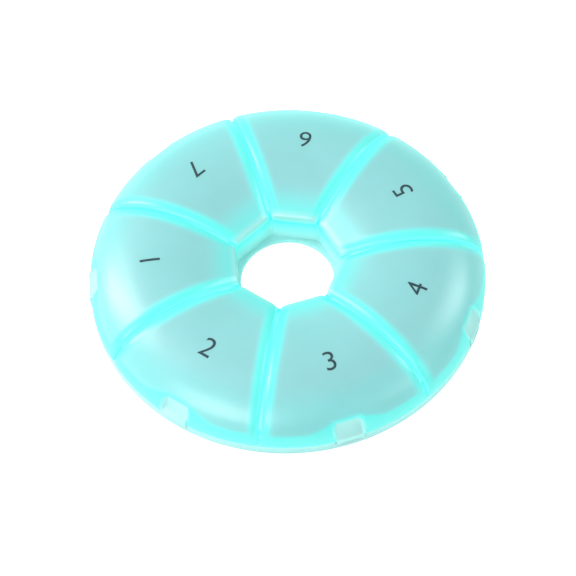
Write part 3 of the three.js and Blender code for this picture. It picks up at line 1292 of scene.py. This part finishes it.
    def _wheel(self, radius: float, width: float, rounding: float) -> bpy.types.Object:
        """A wheel about the recess's axle.

        Args:
            radius: Its radius.
            width: Its width.
            rounding: The rounding of its rims, 0 for none.

        Returns:
            The closed wheel.
        """
        x, z = self.recess.centre
        bpy.ops.object.select_all(action="DESELECT")
        bpy.ops.mesh.primitive_cylinder_add(
            vertices=self.wheel_steps,
            radius=radius,
            depth=width,
            location=(x, 0, z),
            rotation=(math.pi / 2, 0, 0),
        )
        wheel = settle(bpy.context.object, "recess_wheel")
        if rounding:
            select_edges(wheel, lambda a, b: abs(a.y - b.y) < SAME_POINT)
            with editing(wheel, "EDGE"):
                bpy.ops.mesh.bevel(offset=rounding, segments=self.wheel_round_steps, affect="EDGES")
        return wheel

    def _recess_wall(self) -> bpy.types.Object:
        """Builds the thin curved wall behind the recess, kept inside the lid's shoulder.

        Returns:
            The wall.
        """
        width = self.recess.width + 2 * self.recess.wall_lap
        wall = self._wheel(self.recess.radius + self.recess.wall, width, 0)
        run = self.sizes.outer_radius - self.sizes.crown_radius - self.sizes.weld
        fall = self.sizes.crown_height - self.sizes.skirt_bottom - self.sizes.weld
        start, bottom = self.sizes.crown_radius, self.sizes.skirt_bottom
        profile = [(start, bottom)]
        for i in range(self.wall_steps + 1):
            angle = math.pi / 2 * (1 - i / self.wall_steps)
            profile.append((start + run * math.sin(angle), bottom + fall * math.cos(angle)))
        steps = self.sizes.steps_per_day * self.sizes.day_count
        core = turned(profile, steps, "shoulder_core")
        return work(wall, core, Join.KEEP_COMMON)

    def _lug(self) -> bpy.types.Object:
        """Builds the lug at the foot of the recess, which the hinge strap runs into.

        Returns:
            The lug.
        """
        top = self.recess.foot[1] + self.sizes.overrun
        profile = [
            (self.lug_radius, self.sizes.lug_bottom),
            (self.lug_radius, top),
            (self.lug_radius - self.sizes.overrun - self.lug_root_depth, top),
            (self.sizes.outer_radius - self.lug_root_depth, self.sizes.lug_bottom),
        ]
        return across(profile, self.lug_width, "lug")


@dataclass
class Tray:
    """The tray: floor ring, rim and upstand, hub wall, dividers and hinge tabs, all one moulding."""

    sizes: BoxSizes
    recess: Recess
    hole_edge_round: float = 0.4 * MM
    rim_foot_round: float = 1.2 * MM
    rim_foot_steps: int = 6
    hub_corner_round: float = 1.1 * MM
    hub_corner_steps: int = 8
    divider_thickness: float = 1 * MM
    tab_stand_off: float = 0.2 * MM
    tab_half_width: float = 4.4 * MM
    tab_flat_half: float = 2.4 * MM
    tab_steps: int = 36
    tab_foot_height: float = 0.9 * MM
    tab_foot_chamfer: float = 0.6 * MM
    relief_land: float = 1 * MM
    relief_clearance: float = 0.4 * MM
    corner_round: float = 0.15 * MM
    divider_steps: int = 40

    def made(self) -> bpy.types.Object:
        """Builds the tray.

        Returns:
            The tray.
        """
        tray = self._ring()
        work(tray, self._hub(), Join.ADD)
        for day in range(1, self.sizes.day_count + 1):
            facing = self.sizes.facing(day)
            for part, turn, join in (
                (self._relief(), facing, Join.CUT),
                (strap_pocket(self.sizes, self.sizes.tab_top, self.sizes.skirt_bottom), facing, Join.CUT),
                (self._tab(), facing, Join.ADD),
                (self._divider(), facing + self.sizes.half_day, Join.ADD),
            ):
                part.rotation_euler = (0, 0, turn)
                work(tray, settle(part, part.name), join)
        tidy(tray)
        soften(tray, self.corner_round)
        TrayLight(self.sizes).write(tray)
        return tray

    def _ring(self) -> bpy.types.Object:
        """Turns the floor, the rim and the upstand from one profile.

        Returns:
            The ring.
        """
        s = self.sizes
        foot = (s.outer_radius - self.rim_foot_round, self.rim_foot_round)
        profile = [
            (s.hole_radius, self.hole_edge_round),
            (s.hole_radius + self.hole_edge_round, 0),
            *arc(foot, self.rim_foot_round, -90, 0, self.rim_foot_steps),
            (s.outer_radius, s.rim_height),
            (s.upstand_outer, s.rim_height),
            (s.upstand_outer, s.upstand_top),
            (s.upstand_inner, s.upstand_top),
            (s.upstand_inner, s.floor),
            (s.hole_radius, s.floor),
        ]
        return turned(profile, s.steps_per_day * s.day_count, "tray_ring")

    def _heptagon(self, inradius: float) -> list[Vector]:
        """A seven-sided outline with a flat facing each day and rounded corners.

        Args:
            inradius: Distance of the flats from the middle.

        Returns:
            The outline's points.
        """
        half = self.sizes.half_day
        reach = (inradius - self.hub_corner_round) / math.cos(half)
        points = []
        for day in range(self.sizes.day_count):
            facing = self.sizes.facing(day)
            corner = (reach * math.cos(facing + half), reach * math.sin(facing + half))
            start = math.degrees(facing)
            end = math.degrees(facing + 2 * half)
            points += arc(corner, self.hub_corner_round, start, end, self.hub_corner_steps)
        return [Vector((x, y, 0)) for x, y in points]

    def _hub(self) -> bpy.types.Object:
        """Builds the seven-sided wall round the finger hole.

        Returns:
            The wall.
        """
        s = self.sizes
        bottom = s.floor - s.weld
        top = s.lip_height - s.flange_depth - s.seat_clearance
        wall = raised(self._heptagon(s.hub_outer), Vector((0, 0, top - bottom)), "hub_wall")
        wall.location.z = bottom
        settle(wall, "hub_wall")
        bore = raised(self._heptagon(s.hub_inradius), Vector((0, 0, top + s.overrun)), "hub_bore")
        return work(wall, bore, Join.CUT)

    def _divider(self) -> bpy.types.Object:
        """Builds a divider, whose top runs under the lids' flanges, a clearance below them.

        Returns:
            The divider.
        """
        s = self.sizes
        start, end = s.hub_outer - s.weld, s.upstand_inner + s.weld
        bottom = s.floor - s.weld
        profile = [(start, bottom), (end, bottom)]
        for i in range(self.divider_steps + 1):
            radius = mixed(end, start, i / self.divider_steps)
            profile.append((radius, s.divider_top(radius)))
        return across(profile, self.divider_thickness, "divider")

    def _tab(self) -> bpy.types.Object:
        """Builds the small tab that swells out of the rim under a strap.

        Returns:
            The tab.
        """
        s = self.sizes
        root, tip = s.outer_radius - self.rim_foot_round, s.outer_radius + self.tab_stand_off
        ring = turned(
            [
                (root, self.tab_foot_height),
                (tip - self.tab_foot_chamfer, self.tab_foot_height),
                (tip, self.tab_foot_height + self.tab_foot_chamfer),
                (tip, s.tab_top),
                (root, s.tab_top),
            ],
            s.steps_per_day * s.day_count,
            "tab_ring",
        )
        plan = [Vector((root, -self.tab_half_width, 0))]
        for i in range(self.tab_steps + 1):
            y = mixed(-self.tab_half_width, self.tab_half_width, i / self.tab_steps)
            swell = 1 - smooth_step(self.tab_flat_half, self.tab_half_width, abs(y))
            rim = math.sqrt(s.outer_radius**2 - y * y)
            plan.append(Vector((mixed(rim - s.weld, rim + self.tab_stand_off, swell), y, 0)))
        plan.append(Vector((root, self.tab_half_width, 0)))
        block = raised(plan, Vector((0, 0, s.upstand_top)), "tab_block")
        return work(ring, block, Join.KEEP_COMMON)

    def _relief(self) -> bpy.types.Object:
        """What is cut out of the upstand behind a hinge, where the recess's wall comes through.

        Returns:
            The cutter, in a day's own frame.
        """
        s = self.sizes
        width = self.recess.width + 2 * (self.recess.wall_lap + self.relief_clearance)
        low, high = s.rim_height + self.relief_land, s.upstand_top + s.overrun
        inner, outer = s.upstand_inner - s.overrun, s.outer_radius
        return across([(inner, low), (outer, low), (outer, high), (inner, high)], width, "relief")


@dataclass
class HingeStrap:
    """The thin flexible strap that joins a lid to the tray, with a fold line along the hinge."""

    sizes: BoxSizes
    waist: float = 0.22 * MM
    bottom: float = 2.55 * MM
    top: float = 4.35 * MM
    bend_reach: float = 0.5 * MM
    steps: int = 24
    corner_round: float = 0.08 * MM

    def made(self) -> bpy.types.Object:
        """Builds a strap in a day's own frame.

        Returns:
            The strap.
        """
        axis_x, axis_z = self.sizes.hinge
        heights = [mixed(self.bottom, self.top, i / self.steps) for i in range(self.steps + 1)]
        outside = [(axis_x + self._half_thickness(z - axis_z), z) for z in heights]
        inside = [(axis_x - self._half_thickness(z - axis_z), z) for z in reversed(heights)]
        strap = across([*outside, *inside], self.sizes.strap_width, "strap_form")
        soften(strap, self.corner_round, above=60)
        StrapLight().write(strap)
        return strap

    def _half_thickness(self, off_axis: float) -> float:
        """Half the strap's thickness at a height above or below the fold."""
        share = smooth_step(0, self.bend_reach, abs(off_axis))
        return mixed(self.waist, self.sizes.strap_thickness, share) / 2


@dataclass
class Numeral:
    """A plain number printed on a lid, its top towards the finger hole."""

    sizes: BoxSizes
    height: float = 4.6 * MM
    centre_radius: float = 30.7 * MM
    thinning: float = 0.015 * MM
    cut_step: float = 0.4 * MM
    ink: float = 0.03 * MM
    curve_steps: int = 10
    smooth_below: float = 60

    def made(self, day: int, lid: bpy.types.Object) -> bpy.types.Object:
        """Builds a numeral on a lid, in a day's own frame.

        Args:
            day: The number to print.
            lid: The lid in the same frame.

        Returns:
            The numeral, a thin closed skin on the lid.
        """
        bpy.ops.object.select_all(action="DESELECT")
        bpy.ops.object.text_add()
        text = bpy.context.object
        text.data.body = str(day)
        text.data.align_x = "CENTER"
        text.data.align_y = "CENTER"
        text.data.resolution_u = self.curve_steps
        text.data.size = 1
        bpy.context.view_layer.update()
        scale = self.height / text.dimensions.y
        text.data.offset = -self.thinning / scale
        bpy.ops.object.convert(target="MESH")
        numeral = bpy.context.object
        corners = [Vector(corner) for corner in numeral.bound_box]
        middle = sum(corners, Vector()) / len(corners)
        numeral.data.transform(Matrix.Translation(-middle))
        numeral.scale = (scale, scale, 1)
        numeral.rotation_euler = (0, 0, math.pi / 2)
        numeral.location = (self.centre_radius, 0, self.sizes.crown_height + self.sizes.lid_wall)
        settle(numeral, f"numeral_{day}")
        self._cut_up(numeral)
        apply_modifier(
            numeral,
            "SHRINKWRAP",
            target=lid,
            wrap_method="PROJECT",
            use_project_z=True,
            use_negative_direction=True,
            use_positive_direction=False,
            offset=self.ink / 2,
        )
        apply_modifier(numeral, "SOLIDIFY", thickness=self.ink, offset=-1)
        select_only(numeral)
        bpy.ops.object.shade_smooth_by_angle(angle=math.radians(self.smooth_below))
        return numeral

    def _cut_up(self, numeral: bpy.types.Object) -> None:
        """Cuts the flat numeral into small cells, so that it can follow the lid's curve.

        Args:
            numeral: The numeral, in its place above the lid.
        """
        reach = math.ceil(self.height / self.cut_step)
        middle = Vector((self.centre_radius, 0, 0))
        for normal in (Vector((1, 0, 0)), Vector((0, 1, 0))):
            for i in range(-reach, reach + 1):
                place = middle + normal * self.cut_step * i
                clear_selection(numeral)
                with editing(numeral):
                    bpy.ops.mesh.select_all(action="SELECT")
                    bpy.ops.mesh.bisect(plane_co=place, plane_no=normal)
        with editing(numeral):
            bpy.ops.mesh.select_all(action="SELECT")
            bpy.ops.mesh.remove_doubles(threshold=SAME_POINT)


@dataclass(frozen=True)
class SoftBox:
    """A large soft lamp that faces the object."""

    name: str
    azimuth: float
    elevation: float
    width: float
    height: float
    watts: float
    distance: float = 0.6

    def place(self) -> None:
        """Adds the lamp to the scene."""
        data = bpy.data.lights.new(self.name, "AREA")
        data.shape = "RECTANGLE"
        data.size = self.width
        data.size_y = self.height
        data.energy = self.watts
        lamp = bpy.data.objects.new(self.name, data)
        bpy.context.scene.collection.objects.link(lamp)
        towards = direction(self.azimuth, self.elevation)
        lamp.location = towards * self.distance
        lamp.rotation_euler = towards.to_track_quat("Z", "Y").to_euler()


@dataclass
class Studio:
    """A white floor, plain soft light and the camera at the picture's own viewing angle."""

    floor_size: float = 4
    floor_colour: Colour = (0.86, 0.86, 0.86)
    floor_lift: float = 0.75
    floor_drop: float = 0.05 * MM
    world_level: float = 0.465
    camera_azimuth: float = -106.0
    camera_elevation: float = 57.12
    camera_roll: float = -2.045
    camera_distance: float = 506.6 * MM
    nearest_seen: float = 10 * MM
    focal_pixels: float = 2211.3
    centre_pixel: Point = (287.8, 282.33)
    sensor_millimetres: float = 36
    lamps: list[SoftBox] = field(
        default_factory=lambda: [
            SoftBox("left_lamp", azimuth=142, elevation=34, width=0.16, height=0.4, watts=3),
            SoftBox("front_lamp", azimuth=-142, elevation=36, width=0.34, height=0.24, watts=2.1),
            SoftBox("corner_lamp", azimuth=-48, elevation=30, width=0.2, height=0.2, watts=0.45),
            SoftBox("right_lamp", azimuth=1, elevation=32, width=0.16, height=0.24, watts=1.2),
        ]
    )

    def built(self) -> None:
        """Adds the floor, the world, the lamps and the camera."""
        self._floor()
        self._world()
        for lamp in self.lamps:
            lamp.place()
        self._camera()
        bpy.context.scene.view_settings.view_transform = "Standard"

    def _floor(self) -> None:
        """A wide matt floor that looks white, keeps a faint shadow and can be seen through from below."""
        bpy.ops.object.select_all(action="DESELECT")
        bpy.ops.mesh.primitive_plane_add(size=self.floor_size, location=(0, 0, -self.floor_drop))
        floor = bpy.context.object
        floor.name = "studio_floor"
        material, tree, shader = new_material("white_floor")
        feed(
            shader,
            {
                "Base Color": self.floor_colour,
                "Roughness": 1,
                "Specular IOR Level": 0,
                "Emission Color": WHITE,
                "Emission Strength": self._seen_level(tree, self.floor_lift),
            },
        )
        back = add_node(tree, "NewGeometry", {}).outputs["Backfacing"]
        clear = add_node(tree, "BsdfTransparent", {}).outputs["BSDF"]
        one_sided = add_node(tree, "MixShader", {0: back, 1: shader.outputs["BSDF"], 2: clear})
        feed(tree.nodes["Material Output"], {"Surface": one_sided.outputs["Shader"]})
        floor.data.materials.append(material)

    @staticmethod
    def _seen_level(tree: bpy.types.NodeTree, level: float) -> bpy.types.NodeSocket:
        """A socket that gives a level to camera, gloss and transmission rays, and 0 to the light's own.

        Args:
            tree: The nodes of the material or the world.
            level: The level.

        Returns:
            The socket.
        """
        path = add_node(tree, "LightPath", {})
        seen = path.outputs["Is Camera Ray"]
        for ray in ("Is Glossy Ray", "Is Transmission Ray"):
            either = add_node(tree, "Math", {0: seen, 1: path.outputs[ray]}, operation="MAXIMUM")
            seen = either.outputs["Value"]
        return add_node(tree, "Math", {0: seen, 1: level}, operation="MULTIPLY").outputs["Value"]

    def _world(self) -> None:
        """An even white world: plain light for the object, pure white for the camera."""
        world = bpy.data.worlds.new("studio_world")
        bpy.context.scene.world = world
        world.use_nodes = True
        tree = world.node_tree
        lift = self._seen_level(tree, 1 - self.world_level)
        total = add_node(tree, "Math", {0: lift, 1: self.world_level}, operation="ADD")
        feed(tree.nodes["Background"], {"Color": WHITE, "Strength": total.outputs["Value"]})

    def _camera(self) -> None:
        """The camera, with its lens and its shift worked out from the picture's frame."""
        data = bpy.data.cameras.new("camera")
        data.sensor_width = self.sensor_millimetres
        data.lens = self.sensor_millimetres * self.focal_pixels / FRAME_PIXELS
        data.shift_x = (FRAME_PIXELS / 2 - self.centre_pixel[0]) / FRAME_PIXELS
        data.shift_y = (self.centre_pixel[1] - FRAME_PIXELS / 2) / FRAME_PIXELS
        data.clip_start = self.nearest_seen
        camera = bpy.data.objects.new("camera", data)
        bpy.context.scene.collection.objects.link(camera)
        back = direction(self.camera_azimuth, self.camera_elevation)
        right = direction(self.camera_azimuth + 90, 0)
        up = back.cross(right)
        roll = Matrix.Rotation(math.radians(self.camera_roll), 3, back)
        axes = Matrix((roll @ right, roll @ up, back)).transposed()
        camera.matrix_world = Matrix.Translation(back * self.camera_distance) @ axes.to_4x4()
        bpy.context.scene.camera = camera


@dataclass
class PillBox:
    """The whole pill box: its pieces, their finishes and what each one rides on."""

    sizes: BoxSizes = field(default_factory=BoxSizes)
    recess: Recess = field(default_factory=Recess)
    # In each finish, core is the tone of painted shade; rim is the tone of a painted glow along thick edges
    # and on the hub wall, partly also the deeper colour of thick plastic; the emission colour is that of a
    # painted glow.
    lid_plastic: FrostedPlastic = FrostedPlastic(
        "frosted_lid",
        core=colour(130, 184, 187),
        panel=colour(140, 194, 197),
        rim=colour(88, 216, 211),
        thin=colour(158, 208, 207),
        gloss_level=0.7,
    )
    tray_plastic: FrostedPlastic = FrostedPlastic(
        "frosted_tray",
        core=colour(152, 196, 193),
        panel=colour(150, 226, 226),
        rim=colour(40, 230, 220),
        thin=colour(162, 195, 197),
        piped=colour(100, 248, 234),
    )
    strap_plastic: FrostedPlastic = FrostedPlastic(
        "soft_strap",
        core=colour(168, 240, 238),
        panel=colour(168, 240, 238),
        rim=colour(168, 240, 238),
        thin=colour(172, 224, 222),
        roughness=0.42,
    )
    ink: PrintedInk = PrintedInk()

    def built(self) -> None:
        """Builds every piece, dresses it and gives it to its body."""
        tray = Tray(self.sizes, self.recess).made()
        settle(tray, "tray_moulding")
        self._hand_over(tray, self.tray_plastic.made(), "tray", "tray_plastic", "base_tray")

        lid = Lid(self.sizes, self.recess).made()
        strap = HingeStrap(self.sizes).made()
        lid_finish, strap_finish, ink = self.lid_plastic.made(), self.strap_plastic.made(), self.ink.made()
        for day in range(1, self.sizes.day_count + 1):
            facing, body = self.sizes.facing(day), f"lid_{day}"
            numeral = Numeral(self.sizes).made(day, lid)
            numeral.rotation_euler = (0, 0, facing)
            settle(numeral, f"numeral_{day}")
            self._hand_over(numeral, ink, body, "lid_plastic")

            shell = turned_copy(lid, f"lid_{day}_shell", facing)
            self._hand_over(shell, lid_finish, body, "lid_plastic", f"lid_day_{day}")

            band = turned_copy(strap, f"hinge_{day}_strap", facing)
            self._bend(band, facing, body)
            self._hand_over(band, strap_finish, None, "strap_plastic", f"hinge_strap_day_{day}")
        for form in (lid, strap):
            bpy.data.objects.remove(form)

    def _hand_over(
        self, piece: bpy.types.Object, finish: bpy.types.Material, body: str | None, slot: str, *nodes: str
    ) -> None:
        """Dresses a piece, lets it ride on its body and hides the nodes that it replaces.

        Args:
            piece: The finished piece.
            finish: Its material.
            body: The body it rides on, or None where it bends between two.
            slot: Not used.
            nodes: The nodes that it replaces.
        """
        piece.data.materials.clear()
        piece.data.materials.append(finish)
        if body:
            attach(piece, body)
        if nodes:
            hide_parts(*nodes)
        log.info("%s: %d faces", piece.name, len(piece.data.polygons))

    def _bend(self, strap: bpy.types.Object, facing: float, body: str) -> None:
        """Moves a strap's place into its mesh, so that its object sits at the origin.

        Args:
            strap: The strap, in its place.
            facing: Not used.
            body: Not used.
        """
        axis_x, axis_z = self.sizes.hinge
        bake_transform(strap)


def main() -> None:
    """Builds the pill box and the studio."""
    logging.basicConfig(level=logging.INFO, format="%(message)s")
    PillBox().built()
    Studio().built()


if __name__ == "__main__":
    main()
